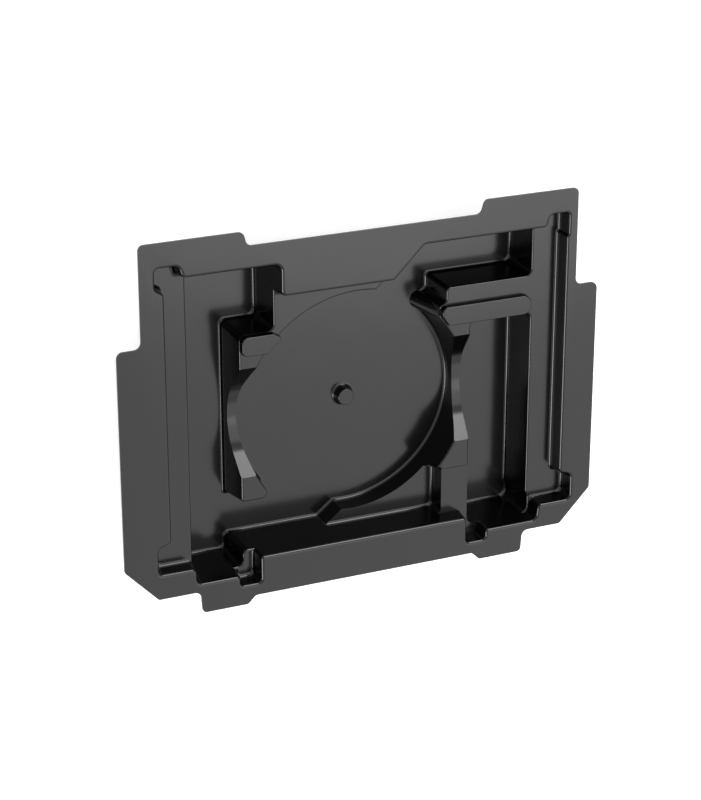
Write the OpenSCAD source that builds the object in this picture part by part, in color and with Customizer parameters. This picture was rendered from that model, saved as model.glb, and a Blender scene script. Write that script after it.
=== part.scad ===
// Insert tray for a tool case, vacuum-formed from one sheet of black polystyrene.
// The flange lies flat and the pockets open upwards. X runs along the long side, Y across it.
// Plan positions are measured from the middle of the flange outline, and every wall outline is
// given where the wall would meet the plane of the flange top. Depths count down from that plane.

/* [Sheet] */
// Thickness of the formed sheet
sheet_t = 1.5; // [1:0.1:2]
// Draft of every wall, in degrees
draft = 5.5; // [4:0.5:7]
// Radius of the upper edges of walls
edge_r = 2.3; // [1.8:0.1:3]
// Radius at the foot of walls
foot_r = 2.3; // [1.5:0.1:3]

/* [Depths below the flange] */
// Depth of the main floor
floor_depth = 43.5; // [38:0.5:50]
// Depth of the side ledges, arms and bridge
ledge_depth = 13.5; // [11:0.5:17]
// Depth of the two raised ribs
rib_depth = 8.8; // [6:0.2:10]
// Depth of the curved step below the disc
step_depth = 28; // [22:0.5:34]
// Depth of the finger trough at its lowest line
trough_depth = 34.8; // [30:0.2:37]
// Drop of the bridge below the end of its cheek
bridge_drop = 0.8; // [0.4:0.1:1.5]

/* [Flange outline] */
// Overall width
flange_w = 375; // [365:1:385]
// Width of the upper half
upper_w = 339; // [330:1:345]
// Height of the outline over the upper and lower tabs
flange_h = 284.5; // [280:0.5:290]
// Height of the outline between the tabs, upper edge from the middle
upper_edge_y = 131.7; // [128:0.1:135]
// Height of the outline between the tabs, lower edge from the middle
lower_edge_y = 136.2; // [133:0.1:139]
// Shoulder where the outline steps out to its full width
shoulder_y = 67.4; // [55:0.2:80]
// Start of the lower corner chamfers
chamfer_y = -99; // [-105:1:-90]
// Lower edge beside the lower tabs
lower_corner_y = -125.25; // [-130:0.25:-120]
// Half width of that edge's outer end
lower_corner_x = 162.5; // [158:0.5:168]
// Outer side of the lower tabs
lower_tab_x = 129.3; // [124:0.1:134]
// Inner side of all four tabs
tab_inner_x = 92; // [86:0.5:98]

/* [Rim of the opening] */
// Left side
rim_left = -151.6; // [-156:0.2:-148]
// Right side
rim_right = 161.4; // [158:0.2:165]
// Upper side
rim_top = 114.8; // [112:0.2:117]
// Lower side
rim_bottom = -106.6; // [-109:0.2:-104]
// Edge of the flange tongue above the disc
tongue_y = 91; // [88:0.5:94]
// Left side of the tongue
tongue_left = -64.6; // [-70:0.2:-60]
// Right end of the slope that ends the tongue
tongue_right = 46; // [42:0.5:52]
// Upper edge of the two upper corner pockets
corner_top = 123.8; // [121:0.2:126]
// Left side of the upper left corner pocket
corner_left = -158.1; // [-161:0.2:-155]
// Left side of the lower left corner pocket
lower_left = -161.6; // [-165:0.2:-158]
// Right side of the lower right corner pocket
lower_right = 171.3; // [167:0.2:175]
// Lower edge of the wide lower bays
bay_y = -119.1; // [-121:0.1:-116]
// Lower edge of the two finger notches
notch_y = -127.2; // [-129:0.2:-124]
// Width of each finger notch
notch_w = 16.4; // [13:0.2:18]
// Inner side of each notch
notch_inner_x = 83.1; // [79:0.2:87]

/* [Ledges, cheeks and arms] */
// Inner edge of the left ledge
left_ledge_x = -133; // [-138:0.5:-128]
// Inner edge of the right ledge
right_ledge_x = 141; // [136:0.5:144]
// Outer wall of the left cheek
left_cheek_x = -91.1; // [-95:0.2:-90]
// Lower end of the left cheek
left_cheek_end = -65.6; // [-70:0.2:-60]
// Outer wall of the right cheek
right_cheek_x = 88.8; // [87:0.2:93]
// Lower end of the right cheek
right_cheek_end = -66; // [-68:0.5:-62]
// Line where the bridge steps down from the cheek
bridge_y = -69.5; // [-76:0.5:-69]
// Left side of the bridge
bridge_left = 69.5; // [66:0.5:73]
// Upper side of the arm
arm_top = 73; // [70:0.2:76]
// Left end of the arm
arm_left = 71.6; // [69:0.2:75]
// Lower side of the ribs
rib_bottom = 47.2; // [45:0.2:50]
// Width of the ribs
rib_w = 12.6; // [10:0.2:13]
// Left end of the right rib
rib_left = 66.2; // [64:0.2:69]
// Radius at the foot of that end, on the disc floor
rib_foot_r = 6.8; // [5:0.2:8]
// Right end of the right rib
rib_right = 137; // [130:0.5:140]

/* [Disc recess] */
// Height of the disc centre in plan
disc_y = -7.9; // [-11:0.1:-5]
// Radius of the recess on its right, at the main floor
disc_r = 84.8; // [80:0.2:86]
// Extra radius along the left cheek
left_clearance = 2.2; // [0.5:0.1:4]
// Foot of the slope that joins the disc to the lower channel
channel_end_x = -19.5; // [-30:0.5:-10]
// Angle of that slope
channel_slope = 38; // [30:1:50]
// Radius of the boss at its top
boss_r = 6.3; // [4:0.1:9]
// Radius of the boss's upper edge
boss_edge_r = 0.8; // [0.4:0.1:1.5]
// Height of the boss
boss_h = 7.5; // [4:0.5:12]

/* [Finger trough] */
// Middle of the trough
trough_y = -6; // [-10:0.5:-2]
// Width of the trough at the ledge level
trough_w = 84; // [74:1:88]
// Slope of the trough's sides
trough_slope = 38.5; // [34:0.5:42]

/* [Hidden] */

draft_run = tan(draft);
// Turn of one facet in rounded corners, and the steps in a fillet
corner_step = 30;
arc_step = 6;
min_r = 0.4;
above = 1;

// Level of the flange top over the plane that the tray rests on
top_z = floor_depth + sheet_t;
tray_black = [0.07, 0.07, 0.075];

// Outline points are [x, y, r]: r rounds the corner, and 0 leaves a point of an arc as it is
function unit(v) = v / norm(v);
function outward(u) = [u.y, -u.x];
function turn_of(u, w) = atan2(u.x * w.y - u.y * w.x, u * w);

function corner(a, b, c, grow, swell) =
    let (u = unit([b.x - a.x, b.y - a.y]))
    let (w = unit([c.x - b.x, c.y - b.y]))
    let (bisector = (outward(u) + outward(w)) / (1 + outward(u) * outward(w)))
    let (tip = [b.x, b.y] + grow * bisector)
    let (turn = turn_of(u, w))
    let (side = sign(turn))
    let (r = max(b[2] + side * swell, min_r))
    let (steps = max(1, ceil(abs(turn) / corner_step)))
    let (start = atan2(side * outward(u).y, side * outward(u).x))
    b[2] == 0 ? [tip]
    : [for (i = [0:steps]) tip - side * r * bisector
        + r * [cos(start + turn * i / steps), sin(start + turn * i / steps)]];

function outline(points, grow, swell) =
    let (n = len(points))
    [for (i = [0:n - 1])
        each corner(points[(i + n - 1) % n], points[i], points[(i + 1) % n], grow, swell)];

function mirrored(points) = [for (i = [len(points) - 1:-1:0]) [-points[i].x, points[i].y, points[i][2]]];

function arc_points(cy, r, from, to) =
    let (n = ceil(abs(to - from) / arc_step))
    [for (i = [0:n]) let (a = from + (to - from) * i / n) [r * cos(a), cy + r * sin(a), 0]];

// Wall profiles are [depth, growth of the outline, change of the corner radii] from the top down.
// Skin moves the whole surface outwards by a sheet, so one profile gives both faces of the sheet
function wall_growth(depth, skin) = skin / cos(draft) - draft_run * depth;

function edge_profile(depth, skin, steps, radius) =
    let (r = max(radius - skin, min_r))
    let (middle = wall_growth(depth + skin + r, skin) + r / cos(draft))
    [for (i = [0:steps]) let (a = (90 - draft) * i / steps)
        [depth + skin + r - r * cos(a), middle - r * sin(a), skin + r * (1 - sin(a) / cos(draft))]];

function foot_profile(depth, skin, steps) =
    let (r = foot_r + skin)
    let (middle = wall_growth(depth + skin - r, skin) - r / cos(draft))
    [for (i = [steps:-1:0]) let (a = (90 - draft) * i / steps)
        [depth + skin - r + r * cos(a), middle + r * sin(a), skin]];

function pocket_profile(top, bottom, skin, lift, steps) =
    let (edge = edge_profile(top, skin, steps, edge_r))
    concat(
        [[top + skin - lift, edge[0][1], edge[0][2]]],
        edge,
        foot_profile(bottom, skin, steps)
    );

// Solid through the same outline grown by each step of a profile; a side of -1 shrinks it instead,
// for a block that stands in the cavity
module loft(points, profile, side = 1) {
    rings = [for (p = profile) outline(points, side * p[1], side * p[2])];
    n = len(rings[0]);
    last = len(profile) - 1;
    vertices = [for (k = [0:last]) for (p = rings[k]) [p.x, p.y, top_z - profile[k][0]]];
    sides = [for (k = [0:last - 1]) for (i = [0:n - 1])
        let (a = k * n + i, b = k * n + (i + 1) % n)
        each [[a, b, b + n], [a, b + n, a + n]]];
    polyhedron(vertices, concat(sides, [[for (i = [n - 1:-1:0]) i], [for (i = [0:n - 1]) last * n + i]]));
}

// Flange outline, right half from the lower edge to the upper one
flange_half = [
    [tab_inner_x - 4, -lower_edge_y, 4],
    [tab_inner_x + 2, -flange_h / 2, 4],
    [lower_tab_x, -flange_h / 2, 3.5],
    [lower_tab_x + 1.2, lower_corner_y, 5],
    [lower_corner_x, lower_corner_y, 3],
    [flange_w / 2, chamfer_y, 4],
    [flange_w / 2, shoulder_y, 5],
    [upper_w / 2, shoulder_y, 5],
    [upper_w / 2, flange_h / 2, 4.5],
    [tab_inner_x + 1, flange_h / 2, 4.5],
    [tab_inner_x - 2, upper_edge_y, 5]
];
flange_outline = concat(flange_half, mirrored(flange_half));

// Corners that the rim shares with the deep pockets under it
lower_left_bay = [left_ledge_x, bay_y, 4.5];
left_notch_out = -notch_inner_x - notch_w;
right_notch_out = notch_inner_x + notch_w;
upper_right_slope = [tongue_right, rim_top, 3.5];
tongue_corner = [tongue_left, rim_top, 5];

rim_outline = [
    [lower_left, rim_bottom, 3.5],
    [left_ledge_x, rim_bottom, 4],
    lower_left_bay,
    [left_notch_out, bay_y, 3],
    [left_notch_out, notch_y, 3],
    [-notch_inner_x, notch_y, 3],
    [-notch_inner_x, rim_bottom, 2.5],
    [notch_inner_x, rim_bottom, 2.5],
    [notch_inner_x, notch_y, 3],
    [right_notch_out, notch_y, 3],
    [right_notch_out, bay_y, 3],
    [right_ledge_x + 1.6, bay_y, 4.5],
    [right_ledge_x + 3.2, rim_bottom, 4],
    [lower_right, rim_bottom, 3.5],
    [lower_right, -85.5, 4],
    [rim_right, -82.5, 4],
    [rim_right, 105, 1],
    [rim_right + 1.4, 107, 1],
    [rim_right + 1.4, corner_top, 2.5],
    [146.8, corner_top, 3.5],
    [144.8, rim_top, 3.5],
    upper_right_slope,
    [tongue_right - (rim_top - tongue_y), tongue_y, 3.5],
    [tongue_left, tongue_y, 4],
    tongue_corner,
    [-138, rim_top, 4],
    [-140.6, corner_top, 4],
    [corner_left, corner_top, 3.5],
    [corner_left, 108.5, 3],
    [rim_left, 104.5, 3],
    [rim_left, -82.5, 4],
    [lower_left, -86, 4]
];

// Disc walls, at the flange plane
disc_top_r = disc_r + draft_run * floor_depth;
left_top_r = disc_top_r + left_clearance;

// Where the slope at the end of the tongue runs on into the left arc
slope_sum = tongue_right + rim_top - disc_y;
slope_run = (slope_sum - sqrt(2 * pow(left_top_r, 2) - pow(tongue_right - rim_top + disc_y, 2))) / 2;
tongue_arc = [tongue_right - slope_run, rim_top - disc_y - slope_run];

// Where the channel's end slope meets the right arc
channel_dir = [cos(channel_slope), sin(channel_slope)];
channel_start = [channel_end_x, rim_bottom - disc_y];
channel_along = channel_start * channel_dir;
channel_run = -channel_along - sqrt(pow(channel_along, 2) - channel_start * channel_start + pow(disc_top_r, 2));
channel_arc = channel_start + channel_run * channel_dir;

arm_root_angle = acos(rib_left / disc_top_r);
rib_foot = [61, rib_bottom + rib_w - 2];
left_end_angle = 360 - acos(-sqrt(pow(left_top_r, 2) - pow(left_cheek_end - disc_y, 2)) / left_top_r);

main_pocket = concat(
    [
        lower_left_bay,
        [left_cheek_x, bay_y, 4],
        [left_cheek_x, rim_bottom, 2],
        [channel_end_x, rim_bottom, 1.5]
    ],
    arc_points(disc_y, disc_top_r, atan2(channel_arc.y, channel_arc.x), arm_root_angle),
    [
        [rib_left, rib_bottom + rib_w, 1.5],
        [arm_left, rib_bottom + rib_w + 2, 4],
        [arm_left, arm_top, 3.2],
        [right_ledge_x, arm_top, 5],
        [right_ledge_x, rim_top, 5],
        upper_right_slope
    ],
    arc_points(disc_y, left_top_r, atan2(tongue_arc.y, tongue_arc.x), left_end_angle),
    [
        [left_cheek_x, left_cheek_end, 1.5],
        [left_cheek_x, rib_bottom + rib_w + 0.4, 2],
        [tongue_left, rib_bottom + rib_w + 0.4, 6],
        tongue_corner,
        [left_ledge_x, rim_top, 4]
    ]
);

side_pocket = [
    [right_cheek_x, bay_y, 5],
    [right_ledge_x + 1.6, bay_y, 6],
    [right_ledge_x + 1.6, -104, 4],
    [right_ledge_x, -100, 4],
    [right_ledge_x, rib_bottom, 5],
    [right_cheek_x, rib_bottom, 5]
];

step_pocket = [
    [channel_end_x - 12, rim_bottom, 2],
    [bridge_left, rim_bottom, 3.5],
    [bridge_left, right_cheek_end, 3],
    [channel_end_x - 12, right_cheek_end, 3]
];

// The bridge's level runs on as the shelf of the right notch
bridge_recess = [
    [bridge_left - 6, notch_y - 6, 1],
    [right_notch_out + 4, notch_y - 6, 1],
    [right_notch_out + 4, bridge_y, 1],
    [bridge_left - 6, bridge_y, 1]
];

// Trough: two straight sides and a round bottom
trough_half = trough_w / 2;
trough_drop = trough_half * tan(trough_slope) - (trough_depth - ledge_depth);
trough_r = trough_drop / (1 / cos(trough_slope) - 1);
trough_length = 2 * (disc_r + 20);

module trough(skin) {
    half = trough_half + skin / sin(trough_slope) + (ledge_depth + above) / tan(trough_slope);
    translate([0, trough_y, top_z])
    hull() {
        translate([0, 0, trough_r - trough_depth])
        rotate([0, 90, 0])
        cylinder(trough_length, r = trough_r + skin, center = true, $fn = 80);
        translate([-trough_length / 2, -half, above])
        cube([trough_length, 2 * half, above]);
    }
}

// Block that stands on a level: drafted sides and a rounded upper edge; its outline is convex
module block(points, top, base, skin) {
    foot = base + skin + edge_r;
    profile = concat(edge_profile(top, skin, 3, edge_r), [[foot, wall_growth(foot, skin), skin]]);
    hull()
    loft(points, profile, -1);
}

right_rib = [
    [rib_left + 5, rib_bottom, 1],
    [rib_right, rib_bottom, 6],
    [rib_right, rib_bottom + rib_w, 6],
    [rib_left, rib_bottom + rib_w, 4],
    [rib_left, rib_bottom + 7, 3]
];

left_rib = [
    [left_cheek_x + 2, rib_bottom, 4],
    [-sqrt(pow(left_top_r, 2) - pow(rib_bottom - disc_y, 2)), rib_bottom, 1],
    [-sqrt(pow(left_top_r, 2) - pow(rib_bottom + rib_w - disc_y, 2)) - 1, rib_bottom + rib_w - 3, 2],
    [tongue_left - 3, rib_bottom + rib_w, 2],
    [left_cheek_x + 2, rib_bottom + rib_w, 4]
];

// Sloping end of the right rib, from the disc floor up to the level of the arm
module rib_end(skin) {
    hull() {
        translate([rib_foot.x, rib_foot.y, top_z - floor_depth - skin - above])
        cylinder(above, r = rib_foot_r - skin, $fn = 32);
        translate([rib_left + rib_foot_r, rib_bottom + rib_w / 2, top_z - ledge_depth - skin])
        cylinder(above, r = rib_foot_r - skin, $fn = 32);
    }
}

// Boss in the middle of the disc recess
module boss(skin) {
    edge = edge_profile(floor_depth - boss_h, skin, 2, boss_edge_r);
    base_r = boss_r - draft_run * (floor_depth - boss_h);
    profile = concat(edge, foot_profile(floor_depth, skin, 3));
    section = [for (p = profile) [base_r - p[1], top_z - p[0]]];
    foot = section[len(section) - 1];
    translate([0, disc_y])
    rotate_extrude($fn = 40)
    polygon(concat([[0, foot.y - above], [0, section[0].y]], section, [[foot.x, foot.y - above]]));
}

// Everything that the sheet wraps: skin 0 gives its upper face, and sheet_t its underside
module form(skin) {
    steps = skin == 0 ? 3 : 2;
    beyond = floor_depth + sheet_t + above;
    loft(rim_outline, pocket_profile(0, ledge_depth, skin, skin == 0 ? above : 0, steps));
    intersection() {
        loft(rim_outline, [[skin, wall_growth(skin, skin), skin], [beyond, wall_growth(beyond, skin), skin]]);
        union() {
            difference() {
                loft(main_pocket, pocket_profile(ledge_depth, floor_depth, skin, foot_r, steps));
                rib_end(skin);
                boss(skin);
            }
            loft(side_pocket, pocket_profile(ledge_depth, floor_depth, skin, foot_r, steps));
            loft(step_pocket, pocket_profile(ledge_depth, step_depth, skin, foot_r, steps));
            loft(bridge_recess, [
                [ledge_depth - foot_r, skin, skin],
                [ledge_depth + bridge_drop + skin, skin, skin]
            ]);
            trough(skin);
        }
    }
}

// The same with the two ribs left standing
module ribbed_form(skin) {
    difference() {
        form(skin);
        block(right_rib, rib_depth, ledge_depth, skin);
        block(left_rib, rib_depth, ledge_depth, skin);
    }
}

module insert_tray() {
    color(tray_black)
    difference() {
        union() {
            translate([0, 0, top_z - sheet_t])
            linear_extrude(sheet_t)
            polygon(outline(flange_outline, 0, 0));
            ribbed_form(sheet_t);
        }
        ribbed_form(0);
    }
}

insert_tray();
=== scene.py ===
"""Insert tray of a tool case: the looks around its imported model.

The tray is one vacuum-formed sheet of black polystyrene. The outlines and depths of the part's
source are lofted here with finer corners and fillets, so that the sheet shades as a smooth one.
"""
import math

import bmesh
import bpy
import numpy as np
from bpy.props import FloatProperty, FloatVectorProperty, PointerProperty
from mathutils import Euler, Matrix, Vector


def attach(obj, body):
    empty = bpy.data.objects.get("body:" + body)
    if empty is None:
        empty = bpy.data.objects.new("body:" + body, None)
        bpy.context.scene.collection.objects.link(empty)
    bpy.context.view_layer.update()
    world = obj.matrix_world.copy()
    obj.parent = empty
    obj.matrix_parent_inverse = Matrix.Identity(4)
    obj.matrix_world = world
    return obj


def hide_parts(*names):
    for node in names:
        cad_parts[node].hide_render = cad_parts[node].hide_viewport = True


bl_info = {
    "name": "Tool case insert tray",
    "version": (1, 0, 0),
    "blender": (4, 5, 0),
    "location": "View3D > Sidebar > Insert tray",
    "description": "Builds the formed sheet of the tray, its finish and the stage it is shown on",
    "category": "Object",
}

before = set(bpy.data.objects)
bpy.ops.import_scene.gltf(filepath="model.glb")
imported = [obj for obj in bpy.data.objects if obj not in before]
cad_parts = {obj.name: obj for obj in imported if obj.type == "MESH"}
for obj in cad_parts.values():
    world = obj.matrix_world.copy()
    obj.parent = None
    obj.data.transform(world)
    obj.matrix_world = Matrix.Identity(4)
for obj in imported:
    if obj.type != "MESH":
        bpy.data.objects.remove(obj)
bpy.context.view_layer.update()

MM = 0.001
TRAY_NODE = "insert_tray"


def length(name, description, millimetres):
    """Property for a size that is given in millimetres."""
    return FloatProperty(name=name, description=description, default=millimetres * MM,
                         min=0.0, unit="LENGTH", subtype="DISTANCE", precision=5)


def angle(name, description, degrees):
    """Property for an angle that is given in degrees."""
    return FloatProperty(name=name, description=description, default=math.radians(degrees),
                         min=0.0, max=math.pi / 2, unit="ROTATION", subtype="ANGLE")


def amount(name, description, default, top=1.0):
    """Property for a plain number."""
    return FloatProperty(name=name, description=description, default=default, min=0.0, max=top)


def colour(name, description, default):
    """Property for a colour."""
    return FloatVectorProperty(name=name, description=description, default=default,
                               subtype="COLOR", min=0.0, max=1.0)


class TrayForm(bpy.types.PropertyGroup):
    """Sizes of the formed sheet."""
    sheet: length("Sheet", "Thickness of the formed sheet", 1.5)
    draft: angle("Draft", "Draft of every wall", 5.5)
    edge_radius: length("Edge radius", "Radius of the upper edges of walls", 2.3)
    step_radius: length("Step radius", "Radius of the edges at the ledge level", 1.6)
    rib_radius: length("Rib radius", "Radius of the ribs' upper edges", 0.9)
    foot_radius: length("Foot radius", "Radius at the foot of walls", 2.3)
    floor_depth: length("Floor depth", "Depth of the main floor under the flange", 43.5)
    ledge_depth: length("Ledge depth", "Depth of the ledges, arms and bridge", 13.5)
    rib_depth: length("Rib depth", "Depth of the two raised ribs", 8.8)
    step_depth: length("Step depth", "Depth of the curved step below the disc", 28)
    trough_depth: length("Trough depth", "Depth of the finger trough at its lowest line", 34.8)
    bridge_drop: length("Bridge drop", "Drop of the bridge below the end of its cheek", 0.8)
    disc_radius: length("Disc radius", "Radius of the disc recess at the main floor", 84.8)
    boss_radius: length("Boss radius", "Radius of the boss at its top", 6.3)
    boss_edge: length("Boss edge", "Radius of the boss's upper edge", 0.8)
    boss_height: length("Boss height", "Height of the boss over the disc floor", 7.5)
    trough_width: length("Trough width", "Width of the trough at the ledge level", 84)
    trough_slope: angle("Trough slope", "Slope of the trough's sides", 38.5)
    corner_turn: angle("Corner turn", "Turn of one facet in the rounded corners", 9)
    arc_turn: angle("Arc turn", "Turn of one facet in the disc's walls", 1.5)


class TrayFinish(bpy.types.PropertyGroup):
    """Look of the black sheet."""
    sheet_colour: colour("Sheet colour", "Colour of the black sheet", (0.0005, 0.0005, 0.0005))
    haze_colour: colour("Haze colour", "Colour where the sheet is dull", (0.002, 0.002, 0.002))
    roughness: amount("Roughness", "Roughness of the sheet's face", 0.16)
    refraction: amount("Refraction", "Refractive index of the sheet's face", 1.45, 4.0)
    patch_size: length("Patch size", "Size of the dull patches", 30)
    speck_size: length("Speck size", "Size of the fine specks", 0.4)
    grain_size: length("Grain size", "Size of the fine grain that the mould leaves", 0.9)
    grain_height: length("Grain height", "Height of that grain", 0.003)
    wave_size: length("Wave size", "Size of the slow waves in the sheet", 45)
    wave_height: length("Wave height", "Height of those waves", 0.12)


class StageLook(bpy.types.PropertyGroup):
    """Floor and lights."""
    floor_size: FloatProperty(name="Floor size", description="Width of the floor", default=12.0,
                              min=1.0, unit="LENGTH", subtype="DISTANCE")
    floor_gap: length("Floor gap", "Gap that keeps the floor clear of the tray's underside", 0.3)
    floor_colour: colour("Floor colour", "Colour of the floor", (0.86, 0.86, 0.86))
    mottle_colour: colour("Mottle colour", "Colour of the floor's faint mottle", (0.84, 0.84, 0.84))
    mottle_size: length("Mottle size", "Size of that mottle", 200)
    backdrop_lift: amount("Backdrop lift", "White that is added where the floor is seen", 0.5)
    room_light: amount("Room light", "Brightness of the even light all round", 0.6, 4.0)
    overhead: amount("Overhead panel", "Brightness of the panel that the flats reflect", 1.05, 20)
    top_panel: amount("Top panel", "Brightness of the panel straight over the tray", 1.6, 20)
    side_panel: amount("Side panel", "Brightness of the panel on the left", 9.5, 40)
    back_panel: amount("Back panel", "Brightness of the panel beyond the tray", 7.2, 40)


# Plan of the tray

# Outline points are (x, y, radius) in millimetres from the middle of the flange. Radius 0 leaves
# a point of an arc as it is. Wall outlines are given where walls would meet the flange plane.
SMALLEST_RADIUS = 0.4
# Millimetres that a cut reaches past the face that it opens.
BEYOND = 1.0

FLANGE_HALF = [
    (88, -136.2, 4),
    (94, -142.25, 4),
    (129.3, -142.25, 3.5),
    (130.5, -125.25, 5),
    (162.5, -125.25, 3),
    (187.5, -99, 4),
    (187.5, 67.4, 5),
    (169.5, 67.4, 5),
    (169.5, 142.25, 4.5),
    (93, 142.25, 4.5),
    (90, 131.7, 5),
]

RIM_LEFT, RIM_RIGHT = -151.6, 161.4
RIM_TOP, RIM_BOTTOM = 114.8, -106.6
TONGUE_Y, TONGUE_LEFT, TONGUE_RIGHT = 91, -64.6, 46
CORNER_TOP, CORNER_LEFT = 123.8, -158.1
LOWER_LEFT, LOWER_RIGHT = -161.6, 171.3
BAY_Y, NOTCH_Y, NOTCH_INNER, NOTCH_OUTER = -119.1, -127.2, 83.1, 99.5
LEFT_LEDGE, RIGHT_LEDGE, RIGHT_BAY = -133, 141, 142.6
LEFT_CHEEK, LEFT_CHEEK_END = -91.1, -65.6
RIGHT_CHEEK, RIGHT_CHEEK_END = 88.8, -66
BRIDGE_LEFT, BRIDGE_Y = 69.5, -69.5
ARM_TOP, ARM_LEFT = 73, 71.6
RIB_BOTTOM, RIB_TOP, RIB_LEFT, RIB_RIGHT = 47.2, 59.8, 66.2, 137
RIB_FOOT, RIB_FOOT_RADIUS = (61, 57.8), 6.8
UPPER_POCKET_Y = RIB_TOP + 0.4
DISC_Y, LEFT_CLEARANCE = -7.9, 2.2
LEFT_RIB_INSET = 0.5
CHANNEL_END, CHANNEL_SLOPE = -19.5, math.radians(38)
# Turn of the disc's arc that the round foot corner of the left cheek takes up, and the share of
# the free length that its tangents use.
CHEEK_BLEND, CHEEK_TANGENT = math.radians(5.5), 0.98
TROUGH_Y = -6

RIM = [
    (LOWER_LEFT, RIM_BOTTOM, 3.5),
    (LEFT_LEDGE, RIM_BOTTOM, 4),
    (LEFT_LEDGE, BAY_Y, 4.5),
    (-NOTCH_OUTER, BAY_Y, 3),
    (-NOTCH_OUTER, NOTCH_Y, 3),
    (-NOTCH_INNER, NOTCH_Y, 3),
    (-NOTCH_INNER, RIM_BOTTOM, 2.5),
    (NOTCH_INNER, RIM_BOTTOM, 2.5),
    (NOTCH_INNER, NOTCH_Y, 3),
    (NOTCH_OUTER, NOTCH_Y, 3),
    (NOTCH_OUTER, BAY_Y, 3),
    (RIGHT_BAY, BAY_Y, 4.5),
    (RIGHT_LEDGE + 3.2, RIM_BOTTOM, 4),
    (LOWER_RIGHT, RIM_BOTTOM, 3.5),
    (LOWER_RIGHT, -85.5, 4),
    (RIM_RIGHT, -82.5, 4),
    (RIM_RIGHT, 105, 1),
    (RIM_RIGHT + 1.4, 107, 1),
    (RIM_RIGHT + 1.4, CORNER_TOP, 2.5),
    (146.8, CORNER_TOP, 3.5),
    (144.8, RIM_TOP, 3.5),
    (TONGUE_RIGHT, RIM_TOP, 3.5),
    (TONGUE_RIGHT - (RIM_TOP - TONGUE_Y), TONGUE_Y, 3.5),
    (TONGUE_LEFT, TONGUE_Y, 4),
    (TONGUE_LEFT, RIM_TOP, 5),
    (-138, RIM_TOP, 4),
    (-140.6, CORNER_TOP, 4),
    (CORNER_LEFT, CORNER_TOP, 3.5),
    (CORNER_LEFT, 108.5, 3),
    (RIM_LEFT, 104.5, 3),
    (RIM_LEFT, -82.5, 4),
    (LOWER_LEFT, -86, 4),
]

SIDE_POCKET = [
    (RIGHT_CHEEK, BAY_Y, 5),
    (RIGHT_BAY, BAY_Y, 6),
    (RIGHT_BAY, -104, 4),
    (RIGHT_LEDGE, -100, 4),
    (RIGHT_LEDGE, RIB_BOTTOM, 5),
    (RIGHT_CHEEK, RIB_BOTTOM, 5),
]

STEP_POCKET = [
    (CHANNEL_END - 12, RIM_BOTTOM, 2),
    (BRIDGE_LEFT, RIM_BOTTOM, 3.5),
    (BRIDGE_LEFT, RIGHT_CHEEK_END, 3),
    (CHANNEL_END - 12, RIGHT_CHEEK_END, 3),
]

BRIDGE_RECESS = [
    (BRIDGE_LEFT - 6, NOTCH_Y - 6, 1),
    (NOTCH_OUTER + 4, NOTCH_Y - 6, 1),
    (NOTCH_OUTER + 4, BRIDGE_Y, 1),
    (BRIDGE_LEFT - 6, BRIDGE_Y, 1),
]

RIGHT_RIB = [
    (RIB_LEFT + 5, RIB_BOTTOM, 1),
    (RIB_RIGHT, RIB_BOTTOM, 6),
    (RIB_RIGHT, RIB_TOP, 6),
    (RIB_LEFT, RIB_TOP, 4),
    (RIB_LEFT, RIB_BOTTOM + 7, 3),
]


def mirrored(points):
    """The other half of an outline that is alike on both sides of X = 0."""
    return [(-x, y, r) for x, y, r in reversed(points)]


def unit(vector):
    """Vector of length 1 in the same direction."""
    return vector / np.hypot(*vector)


def outward(direction):
    """Normal of a side that runs round its outline anticlockwise."""
    return np.array([direction[1], -direction[0]])


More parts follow.
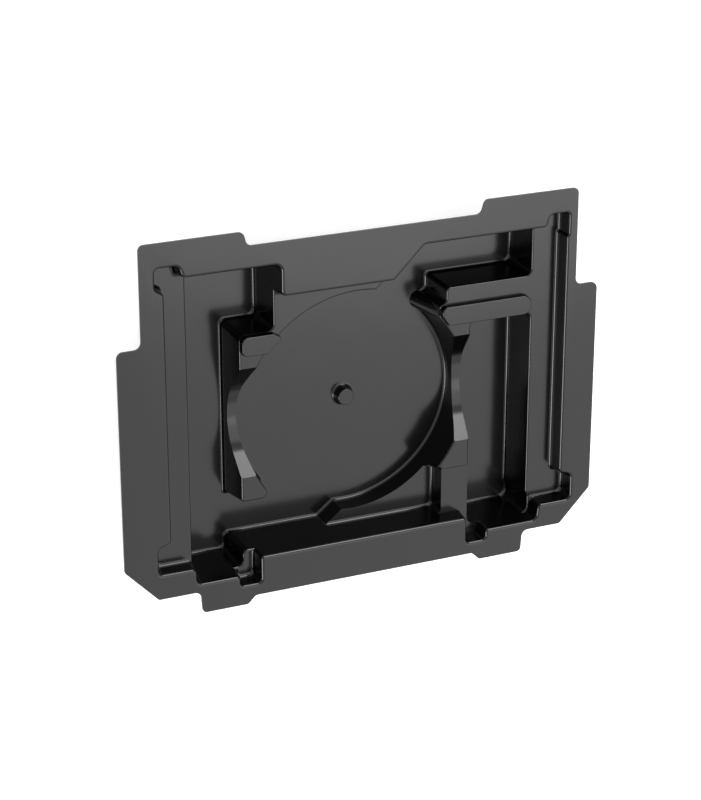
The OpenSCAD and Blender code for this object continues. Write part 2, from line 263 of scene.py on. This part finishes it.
class Plan:
    """Turns outline points into closed rings, and holds the sizes behind them in millimetres."""

    def __init__(self, form):
        for name in ("sheet", "edge_radius", "step_radius", "rib_radius", "foot_radius",
                     "floor_depth", "ledge_depth", "rib_depth", "step_depth", "trough_depth",
                     "bridge_drop", "disc_radius", "boss_radius", "boss_edge", "boss_height",
                     "trough_width"):
            setattr(self, name, getattr(form, name) / MM)
        self.draft, self.trough_slope = form.draft, form.trough_slope
        self.corner_turn, self.arc_turn = form.corner_turn, form.arc_turn
        self.run = math.tan(form.draft)
        self.top = self.floor_depth + self.sheet
        self.right_radius = self.disc_radius + self.run * self.floor_depth
        self.left_radius = self.right_radius + LEFT_CLEARANCE

    def corner(self, before, point, after, grow, swell):
        """Points of one rounded corner, on the outline moved outwards by grow."""
        u = unit(np.subtract(point[:2], before[:2]))
        w = unit(np.subtract(after[:2], point[:2]))
        bisector = (outward(u) + outward(w)) / (1 + outward(u) @ outward(w))
        tip = np.array(point[:2], float) + grow * bisector
        if point[2] == 0:
            return [tip]
        turn = math.atan2(u[0] * w[1] - u[1] * w[0], u @ w)
        side = 1 if turn > 0 else -1
        radius = max(point[2] + side * swell, SMALLEST_RADIUS)
        steps = max(1, math.ceil(abs(turn) / self.corner_turn))
        start = math.atan2(side * outward(u)[1], side * outward(u)[0])
        angles = start + turn * np.arange(steps + 1) / steps
        return [tip - side * radius * bisector + radius * np.array([math.cos(a), math.sin(a)])
                for a in angles]

    def ring(self, points, grow, swell):
        """Closed ring of points round an outline that is moved outwards by grow."""
        count = len(points)
        corners = [self.corner(points[i - 1], points[i], points[(i + 1) % count], grow, swell)
                   for i in range(count)]
        return np.array([p for corner in corners for p in corner])

    def arc(self, radius, start, end):
        """Points of the disc's wall, from one angle to another."""
        steps = math.ceil(abs(end - start) / self.arc_turn)
        angles = start + (end - start) * np.arange(steps + 1) / steps
        return [(radius * math.cos(a), DISC_Y + radius * math.sin(a), 0) for a in angles]

    def tongue_meeting(self):
        """Angle at which the tongue's slope meets the disc's wall on the left."""
        along = TONGUE_RIGHT + RIM_TOP - DISC_Y
        across = TONGUE_RIGHT - RIM_TOP + DISC_Y
        run = (along - math.sqrt(2 * self.left_radius ** 2 - across ** 2)) / 2
        return math.atan2(RIM_TOP - DISC_Y - run, TONGUE_RIGHT - run)

    def channel_meeting(self):
        """Angle at which the lower channel's slope meets the disc's wall on the right."""
        direction = np.array([math.cos(CHANNEL_SLOPE), math.sin(CHANNEL_SLOPE)])
        start = np.array([CHANNEL_END, RIM_BOTTOM - DISC_Y])
        reach = start @ direction
        run = -reach - math.sqrt(reach ** 2 - start @ start + self.right_radius ** 2)
        meeting = start + run * direction
        return math.atan2(meeting[1], meeting[0])

    def cheek_corner(self):
        """Angle at which the disc's wall ends by the left cheek, and the round corner after it."""
        radius = self.left_radius
        end = math.pi - math.asin((LEFT_CHEEK_END - DISC_Y) / radius) - CHEEK_BLEND
        tangent = np.array([-math.sin(end), math.cos(end)])
        start = np.array([radius * math.cos(end), DISC_Y + radius * math.sin(end)])
        run = (LEFT_CHEEK_END - start[1]) / tangent[1]
        turn = math.acos(-tangent[0])
        return end, (*(start + run * tangent), CHEEK_TANGENT * run / math.tan(turn / 2))

    def main_pocket(self):
        """Deep pocket of the disc, with the channels that open into it."""
        cheek_end, cheek_corner = self.cheek_corner()
        rib_meeting = math.acos(RIB_LEFT / self.right_radius)
        return [
            (LEFT_LEDGE, BAY_Y, 4.5),
            (LEFT_CHEEK, BAY_Y, 4),
            (LEFT_CHEEK, RIM_BOTTOM, 4.5),
            (CHANNEL_END, RIM_BOTTOM, 1.5),
            *self.arc(self.right_radius, self.channel_meeting(), rib_meeting),
            (RIB_LEFT, RIB_TOP, 1.5),
            (ARM_LEFT, RIB_TOP + 2, 4),
            (ARM_LEFT, ARM_TOP, 3.2),
            (RIGHT_LEDGE, ARM_TOP, 5),
            (RIGHT_LEDGE, RIM_TOP, 5),
            (TONGUE_RIGHT, RIM_TOP, 3.5),
            *self.arc(self.left_radius, self.tongue_meeting(), cheek_end),
            cheek_corner,
            (LEFT_CHEEK, LEFT_CHEEK_END, 2.5),
            (LEFT_CHEEK, UPPER_POCKET_Y, 5),
            (TONGUE_LEFT, UPPER_POCKET_Y, 4.5),
            (TONGUE_LEFT, RIM_TOP, 5),
            (LEFT_LEDGE, RIM_TOP, 4),
        ]

    def left_rib(self):
        """Rib on the left, whose inner end follows the disc's wall."""
        def wall(y):
            return -math.sqrt(self.left_radius ** 2 - (y - DISC_Y) ** 2)

        return [
            (LEFT_CHEEK + LEFT_RIB_INSET, RIB_BOTTOM, 4),
            (wall(RIB_BOTTOM), RIB_BOTTOM, 1),
            (wall(RIB_TOP) - 1, RIB_TOP - 3, 2),
            (TONGUE_LEFT - 3, RIB_TOP, 2),
            (LEFT_CHEEK + LEFT_RIB_INSET, RIB_TOP, 4),
        ]

    # Profiles are rows of (depth, growth of the outline, change of the corner radii), top down.
    # Skin moves the surface outwards by a sheet, so one profile gives both faces of the sheet.

    def wall_growth(self, depth, skin):
        """Growth of a drafted wall at a depth."""
        return skin / math.cos(self.draft) - self.run * depth

    def edge_profile(self, depth, skin, steps, radius):
        """Rounded edge that leads from a flat down into a drafted wall."""
        r = max(radius - skin, SMALLEST_RADIUS)
        middle = self.wall_growth(depth + skin + r, skin) + r / math.cos(self.draft)
        angles = (math.pi / 2 - self.draft) * np.arange(steps + 1) / steps
        return [(depth + skin + r - r * math.cos(a), middle - r * math.sin(a),
                 skin + r * (1 - math.sin(a) / math.cos(self.draft))) for a in angles]

    def foot_profile(self, depth, skin, steps):
        """Rounded foot that leads from a drafted wall into a floor."""
        r = self.foot_radius + skin
        middle = self.wall_growth(depth + skin - r, skin) - r / math.cos(self.draft)
        angles = (math.pi / 2 - self.draft) * np.arange(steps, -1, -1) / steps
        return [(depth + skin - r + r * math.cos(a), middle + r * math.sin(a), skin)
                for a in angles]

    def pocket_profile(self, top, bottom, skin, lift, steps, radius):
        """Whole side of a pocket, from lift above the flat that it opens in."""
        edge = self.edge_profile(top, skin, steps, radius)
        return [(top + skin - lift, *edge[0][1:]), *edge, *self.foot_profile(bottom, skin, steps)]


# Meshes

# Steps of the rounded edges and feet in the upper face and in the underside, and of the round
# bottom of the trough.
UPPER_STEPS, UNDER_STEPS, TROUGH_STEPS = 6, 3, 48
# Millimetres by which the trough reaches past the disc on both sides.
TROUGH_REACH = 20
# Metres under the flange's top within which a face still counts as part of it.
TOP_TOLERANCE = 1e-6
# Turn between two faces from which their edge is left sharp.
SHARP_TURN = math.radians(32)


def new_object(name, vertices, faces):
    """Object in the scene from points in millimetres."""
    mesh = bpy.data.meshes.new(name)
    mesh.from_pydata((np.array(vertices) * MM).tolist(), [], faces)
    piece = bpy.data.objects.new(name, mesh)
    bpy.context.scene.collection.objects.link(piece)
    return piece


def loft(plan, name, points, profile, side=1):
    """Closed solid through the same outline grown by each row of a profile."""
    rings = [plan.ring(points, side * grow, side * swell) for depth, grow, swell in profile]
    count = len(rings[0])
    vertices = [(x, y, plan.top - depth)
                for (depth, _, _), ring in zip(profile, rings) for x, y in ring]
    faces = []
    for level in range(len(profile) - 1):
        for i in range(count):
            a, b = level * count + i, level * count + (i + 1) % count
            faces.append((a, a + count, b + count, b))
    last = (len(profile) - 1) * count
    faces.append(tuple(range(count)))
    faces.append(tuple(last + i for i in range(count - 1, -1, -1)))
    return new_object(name, vertices, faces)


def stacked_faces(count, levels):
    """Faces of a solid whose rings of count vertices run anticlockwise seen from the last one."""
    faces = [(low + i, low + (i + 1) % count, low + count + (i + 1) % count, low + count + i)
             for low in range(0, (levels - 1) * count, count) for i in range(count)]
    last = (levels - 1) * count
    return [*faces, tuple(range(count - 1, -1, -1)), tuple(range(last, last + count))]


def prism(name, outline, low, high):
    """Upright solid over a plan outline."""
    vertices = [(x, y, z) for z in (low, high) for x, y in outline]
    return new_object(name, vertices, stacked_faces(len(outline), 2))


def revolve(name, section, centre, steps=72):
    """Solid of revolution round a vertical line; section rows are (radius, height), bottom up."""
    angles = [2 * math.pi * k / steps for k in range(steps)]
    vertices = [(centre[0] + r * math.cos(a), centre[1] + r * math.sin(a), z)
                for r, z in section for a in angles]
    return new_object(name, vertices, stacked_faces(steps, len(section)))


def discard(piece):
    """Removes an object and its mesh."""
    mesh = piece.data
    bpy.data.objects.remove(piece)
    bpy.data.meshes.remove(mesh)


def combine(first, operation, *others):
    """Applies one boolean after another to the first object and removes the others."""
    for other in others:
        change = first.modifiers.new(operation, "BOOLEAN")
        change.operation = operation
        change.solver = "MANIFOLD"
        change.object = other
        bpy.context.view_layer.update()
        result = bpy.data.meshes.new_from_object(
            first.evaluated_get(bpy.context.evaluated_depsgraph_get()))
        first.modifiers.remove(change)
        old = first.data
        first.data = result
        bpy.data.meshes.remove(old)
        discard(other)
    return first


def trough(plan, skin):
    """Solid of the finger trough: straight slopes and a round bottom."""
    slope = plan.trough_slope
    half = plan.trough_width / 2
    drop = half * math.tan(slope) - (plan.trough_depth - plan.ledge_depth)
    radius = drop / (1 / math.cos(slope) - 1) + skin
    top_half = half + skin / math.sin(slope) + (plan.ledge_depth + BEYOND) / math.tan(slope)
    angles = np.linspace(-slope, slope, TROUGH_STEPS + 1)
    section = [(top_half, -BEYOND), (-top_half, -BEYOND)]
    section += [(radius * math.sin(a), plan.trough_depth + skin - radius + radius * math.cos(a))
                for a in angles]
    reach = plan.disc_radius + TROUGH_REACH
    vertices = [(x, TROUGH_Y + y, plan.top - depth)
                for x in (-reach, reach) for y, depth in section]
    return new_object("trough", vertices, stacked_faces(len(section), 2))


def block(plan, name, points, skin, steps):
    """Rib that stands on the ledge level, with drafted sides and a rounded upper edge."""
    foot = plan.ledge_depth + skin + plan.edge_radius
    profile = plan.edge_profile(plan.rib_depth, skin, steps, plan.rib_radius)
    profile.append((foot, plan.wall_growth(foot, skin), skin))
    return loft(plan, name, points, profile, side=-1)


def rib_end(plan, skin, steps=48):
    """Sloping end of the right rib, from the disc floor up to the level of the arm."""
    low, high = plan.top - plan.floor_depth - skin, plan.top - plan.ledge_depth - skin
    radius = RIB_FOOT_RADIUS - skin
    head = (RIB_LEFT + RIB_FOOT_RADIUS, (RIB_BOTTOM + RIB_TOP) / 2)
    rows = ((RIB_FOOT, low - BEYOND), (RIB_FOOT, low), (head, high), (head, high + BEYOND))
    vertices = [(x + radius * math.cos(a), y + radius * math.sin(a), z) for (x, y), z in rows
                for a in 2 * math.pi * np.arange(steps) / steps]
    return new_object("rib_end", vertices, stacked_faces(steps, len(rows)))


def boss(plan, skin, steps):
    """Centring boss in the middle of the disc's floor."""
    edge = plan.edge_profile(plan.floor_depth - plan.boss_height, skin, steps, plan.boss_edge)
    base = plan.boss_radius - plan.run * (plan.floor_depth - plan.boss_height)
    rows = edge + plan.foot_profile(plan.floor_depth, skin, steps)
    section = [(base - grow, plan.top - depth) for depth, grow, _ in reversed(rows)]
    section.insert(0, (section[0][0], section[0][1] - BEYOND))
    return revolve("boss", section, (0, DISC_Y))


def ribbed_form(plan, skin, steps):
    """Everything that the sheet wraps: skin 0 gives its upper face, the sheet its underside."""
    below = plan.floor_depth + plan.sheet + BEYOND
    ledge, floor = plan.ledge_depth, plan.floor_depth

    def pocket(name, points, bottom):
        return loft(plan, name, points, plan.pocket_profile(
            ledge, bottom, skin, plan.foot_radius, steps, plan.step_radius))

    deep = combine(pocket("main_pocket", plan.main_pocket(), floor), "DIFFERENCE",
                   rib_end(plan, skin), boss(plan, skin, steps))
    drop = plan.bridge_drop
    bridge = loft(plan, "bridge", BRIDGE_RECESS, [
        (ledge - plan.foot_radius, skin + drop, skin + drop),
        (ledge + skin, skin + drop, skin + drop),
        (ledge + drop + skin, skin, skin)])
    combine(deep, "UNION", pocket("side_pocket", SIDE_POCKET, floor),
            pocket("step_pocket", STEP_POCKET, plan.step_depth), bridge, trough(plan, skin))
    combine(deep, "INTERSECT", loft(plan, "walls", RIM, [
        (skin, plan.wall_growth(skin, skin), skin),
        (below, plan.wall_growth(below, skin), skin)]))
    form = loft(plan, "form", RIM, plan.pocket_profile(0, ledge, skin, 0, steps, plan.edge_radius))
    combine(form, "UNION", deep)
    return combine(form, "DIFFERENCE", block(plan, "right_rib", RIGHT_RIB, skin, steps),
                   block(plan, "left_rib", plan.left_rib(), skin, steps))


def close_sheet(underside, upper, top):
    """Joins the two faces of the sheet by a flat flange top between the outline and the rim."""
    shape = bmesh.new()
    shape.from_mesh(upper.data)
    bmesh.ops.reverse_faces(shape, faces=shape.faces[:])
    shape.from_mesh(underside.data)
    level = top * MM - TOP_TOLERANCE
    lids = [face for face in shape.faces if all(v.co.z > level for v in face.verts)]
    bmesh.ops.delete(shape, geom=lids, context="FACES")
    rims = [edge for edge in shape.edges if edge.is_boundary]
    bmesh.ops.triangle_fill(shape, use_beauty=True, edges=rims, normal=(0, 0, 1))
    shape.normal_update()
    if any(not edge.is_manifold for edge in shape.edges):
        raise RuntimeError("the formed sheet isn't closed")
    shape.to_mesh(underside.data)
    shape.free()
    discard(upper)


class TRAY_OT_sheet(bpy.types.Operator):
    """Forms the sheet of the tray and gives it its finish"""
    bl_idname = "tray.sheet"
    bl_label = "Formed sheet"

    def execute(self, context):
        plan = Plan(context.scene.tray_form)
        flange = prism("formed_sheet", plan.ring(FLANGE_HALF + mirrored(FLANGE_HALF), 0, 0),
                       plan.top - plan.sheet, plan.top)
        sheet = combine(flange, "UNION", ribbed_form(plan, plan.sheet, UNDER_STEPS))
        close_sheet(sheet, ribbed_form(plan, 0, UPPER_STEPS), plan.top)
        sheet.data.shade_smooth()
        sheet.data.set_sharp_from_angle(angle=SHARP_TURN)
        weighted = sheet.modifiers.new("Weighted normals", "WEIGHTED_NORMAL")
        weighted.keep_sharp = True
        context.view_layer.update()
        smooth = bpy.data.meshes.new_from_object(
            sheet.evaluated_get(context.evaluated_depsgraph_get()), preserve_all_data_layers=True,
            depsgraph=context.evaluated_depsgraph_get())
        sheet.modifiers.clear()
        sheet.data = smooth
        smooth.name = "formed_sheet"
        smooth.materials.clear()
        smooth.materials.append(black_polystyrene(context.scene.tray_finish))
        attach(sheet, "root")
        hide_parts(TRAY_NODE)
        return {"FINISHED"}


# Materials

# How strongly the patches and the specks turn the sheet's colour to haze, and what the haze
# lacks between them.
PATCH_HAZE, SPECK_HAZE, HAZE_CUT = 0.8, 0.4, 0.2
# Roughness that they add, and what the sheet has less than its set value between them.
PATCH_ROUGHNESS, SPECK_ROUGHNESS, ROUGHNESS_CUT = 0.06, 0.03, 0.03
WAVE_STRENGTH, GRAIN_STRENGTH = 1.0, 0.6
MOTTLE_SHARE, FLOOR_ROUGHNESS = 0.3, 0.8
WHITE = (1, 1, 1, 1)
# Outputs and inputs that nodes tell apart by their number.
OBJECT_COORDINATES = 3
MIX_FACTOR, MIX_FIRST, MIX_SECOND, MIX_RESULT = 0, 6, 7, 2


class Wire:
    """An output socket; arithmetic on it adds Math nodes."""

    def __init__(self, tree, socket):
        self.tree, self.socket = tree, socket

    def math(self, operation, first, second):
        return add_node(self.tree, "ShaderNodeMath", {"operation": operation},
                        {0: first, 1: second})

    def __add__(self, other):
        return self.math("ADD", self, other)

    def __sub__(self, other):
        return self.math("SUBTRACT", self, other)

    def __rsub__(self, other):
        return self.math("SUBTRACT", other, self)

    def __mul__(self, other):
        return self.math("MULTIPLY", self, other)

    __radd__ = __add__
    __rmul__ = __mul__


def add_node(tree, kind, settings=None, sockets=None, output=0):
    """Adds a node with its settings first, then the values or links of its sockets."""
    node = tree.nodes.new(kind)
    for name, value in (settings or {}).items():
        setattr(node, name, value)
    for key, value in (sockets or {}).items():
        if isinstance(value, Wire):
            tree.links.new(value.socket, node.inputs[key])
        else:
            node.inputs[key].default_value = value
    return Wire(tree, node.outputs[output]) if node.outputs else node


def new_material(name):
    """Empty material and its node tree."""
    material = bpy.data.materials.new(name)
    material.use_nodes = True
    material.node_tree.nodes.clear()
    return material, material.node_tree


def object_place(tree):
    """Place on the object's own surface."""
    return add_node(tree, "ShaderNodeTexCoord", output=OBJECT_COORDINATES)


def noise(tree, place, size, detail):
    """Noise whose lumps are about one size across, in metres."""
    return add_node(tree, "ShaderNodeTexNoise", {"noise_dimensions": "3D"},
                    {"Vector": place, "Scale": 1 / size, "Detail": detail})


def mixed_colour(tree, factor, first, second):
    """Colour that goes from the first to the second as the factor rises."""
    return add_node(tree, "ShaderNodeMix", {"data_type": "RGBA"},
                    {MIX_FACTOR: factor, MIX_FIRST: (*first, 1), MIX_SECOND: (*second, 1)},
                    output=MIX_RESULT)


def black_polystyrene(finish):
    """Glossy black sheet with a fine grain, slow waves and faint dull patches."""
    material, tree = new_material("black_polystyrene")
    place = object_place(tree)
    grain = noise(tree, place, finish.grain_size, detail=3.0)
    waves = noise(tree, place, finish.wave_size, detail=1.0)
    patches = noise(tree, place, finish.patch_size, detail=4.0)
    specks = noise(tree, place, finish.speck_size, detail=1.0)
    haze = patches * PATCH_HAZE + specks * SPECK_HAZE - HAZE_CUT
    roughness = (finish.roughness - ROUGHNESS_CUT + patches * PATCH_ROUGHNESS
                 + specks * SPECK_ROUGHNESS)
    relief = add_node(tree, "ShaderNodeBump", None,
                      {"Strength": WAVE_STRENGTH, "Distance": finish.wave_height,
                       "Height": waves})
    surface = add_node(tree, "ShaderNodeBump", None,
                       {"Strength": GRAIN_STRENGTH, "Distance": finish.grain_height,
                        "Height": grain, "Normal": relief})
    shader = add_node(tree, "ShaderNodeBsdfPrincipled", None,
                      {"Base Color": mixed_colour(tree, haze, finish.sheet_colour,
                                                  finish.haze_colour),
                       "Roughness": roughness, "IOR": finish.refraction, "Normal": surface})
    add_node(tree, "ShaderNodeOutputMaterial", None, {"Surface": shader})
    return material


def seen_rays(tree):
    """1 on the rays that show the background, straight or in gloss and glass."""
    paths = tree.nodes.new("ShaderNodeLightPath").outputs
    return (Wire(tree, paths["Is Camera Ray"]) + Wire(tree, paths["Is Glossy Ray"])
            + Wire(tree, paths["Is Transmission Ray"]))


def pale_floor(look):
    """Pale floor that shows white and keeps the object's shadow."""
    material, tree = new_material("pale_floor")
    mottle = noise(tree, object_place(tree), look.mottle_size, detail=3.0)
    shader = add_node(tree, "ShaderNodeBsdfPrincipled", None,
                      {"Base Color": mixed_colour(tree, mottle * MOTTLE_SHARE, look.floor_colour,
                                                  look.mottle_colour),
                       "Roughness": FLOOR_ROUGHNESS, "Emission Strength": 1.0,
                       "Emission Color": seen_rays(tree) * look.backdrop_lift})
    add_node(tree, "ShaderNodeOutputMaterial", None, {"Surface": shader})
    return material


def room_world(look):
    """Even light all round, and plain white where the background shows."""
    world = bpy.data.worlds.new("room")
    world.use_nodes = True
    tree = world.node_tree
    tree.nodes.clear()
    strength = seen_rays(tree) * (1 - look.room_light) + look.room_light
    light = add_node(tree, "ShaderNodeBackground", None, {"Color": WHITE, "Strength": strength})
    add_node(tree, "ShaderNodeOutputWorld", None, {"Surface": light})
    return world


# Stage

# Camera in metres and degrees, as the flange's edges and the disc's circle in the photograph
# give it: its place, its turns about X, Y and Z, and its lens in millimetres.
CAMERA_PLACE = (-0.657919, 0.644018, 1.506020)
CAMERA_TURNS = (-21.7909, -23.8478, -0.0351)
LENS, FRAME_SIZE = 107.5, 36.0
NEAR, FAR = 0.05, 50.0

# Round panels of light: name, direction from the tray, distance and width in metres.
PANELS = (
    ("overhead", (0.55, -0.36, 0.75), 2.2, 2.1),
    ("top_panel", (0.38, 0.09, 0.92), 2.2, 1.9),
    ("side_panel", (-0.74, -0.37, 0.56), 2.0, 0.92),
    ("back_panel", (0.37, 0.84, 0.39), 2.0, 1.25),
)


def soft_light(name, direction, distance, width, brightness):
    """Round panel that faces the tray; its power follows from how bright it looks."""
    lamp = bpy.data.lights.new(name, "AREA")
    lamp.shape, lamp.size = "DISK", width
    lamp.energy = brightness * math.pi * math.pi * (width / 2) ** 2
    holder = bpy.data.objects.new(name, lamp)
    bpy.context.scene.collection.objects.link(holder)
    back = Vector(direction).normalized()
    holder.matrix_world = Matrix.LocRotScale(back * distance, back.to_track_quat("Z", "Y"), None)


def photo_camera():
    """Camera that stands where the photograph was taken."""
    lens = bpy.data.cameras.new("camera")
    lens.sensor_fit, lens.sensor_width, lens.lens = "AUTO", FRAME_SIZE, LENS
    lens.clip_start, lens.clip_end = NEAR, FAR
    camera = bpy.data.objects.new("camera", lens)
    bpy.context.scene.collection.objects.link(camera)
    turns = Euler([math.radians(turn) for turn in CAMERA_TURNS])
    camera.matrix_world = Matrix.LocRotScale(Vector(CAMERA_PLACE), turns, None)
    bpy.context.scene.camera = camera


class TRAY_OT_stage(bpy.types.Operator):
    """Sets up the floor, the lights, the background and the camera"""
    bl_idname = "tray.stage"
    bl_label = "Floor, lights and camera"

    def execute(self, context):
        look = context.scene.tray_stage
        half = look.floor_size / 2
        mesh = bpy.data.meshes.new("floor")
        corners = ((-half, -half), (half, -half), (half, half), (-half, half))
        mesh.from_pydata([(x, y, -look.floor_gap) for x, y in corners], [], [(0, 1, 2, 3)])
        floor = bpy.data.objects.new("floor", mesh)
        floor.data.materials.append(pale_floor(look))
        context.scene.collection.objects.link(floor)
        context.scene.world = room_world(look)
        for name, direction, distance, width in PANELS:
            soft_light(name, direction, distance, width, getattr(look, name))
        photo_camera()
        context.scene.view_settings.view_transform = "Standard"
        return {"FINISHED"}


class TRAY_PT_panel(bpy.types.Panel):
    """Sidebar panel with the tray's sizes, finish and steps"""
    bl_idname = "TRAY_PT_panel"
    bl_label = "Insert tray"
    bl_space_type = "VIEW_3D"
    bl_region_type = "UI"
    bl_category = "Insert tray"

    def draw(self, context):
        for group in ("tray_form", "tray_finish", "tray_stage"):
            box = self.layout.box()
            settings = getattr(context.scene, group)
            for name in settings.bl_rna.properties.keys():
                if name not in ("rna_type", "name"):
                    box.prop(settings, name)
        for step in OPERATORS:
            self.layout.operator(step.bl_idname)


OPERATORS = (TRAY_OT_sheet, TRAY_OT_stage)
CLASSES = (TrayForm, TrayFinish, StageLook, *OPERATORS, TRAY_PT_panel)


def register():
    for entry in CLASSES:
        bpy.utils.register_class(entry)
    bpy.types.Scene.tray_form = PointerProperty(type=TrayForm)
    bpy.types.Scene.tray_finish = PointerProperty(type=TrayFinish)
    bpy.types.Scene.tray_stage = PointerProperty(type=StageLook)


def unregister():
    del bpy.types.Scene.tray_form
    del bpy.types.Scene.tray_finish
    del bpy.types.Scene.tray_stage
    for entry in reversed(CLASSES):
        bpy.utils.unregister_class(entry)


def main():
    register()
    bpy.ops.tray.sheet()
    bpy.ops.tray.stage()


if __name__ == "__main__":
    main()
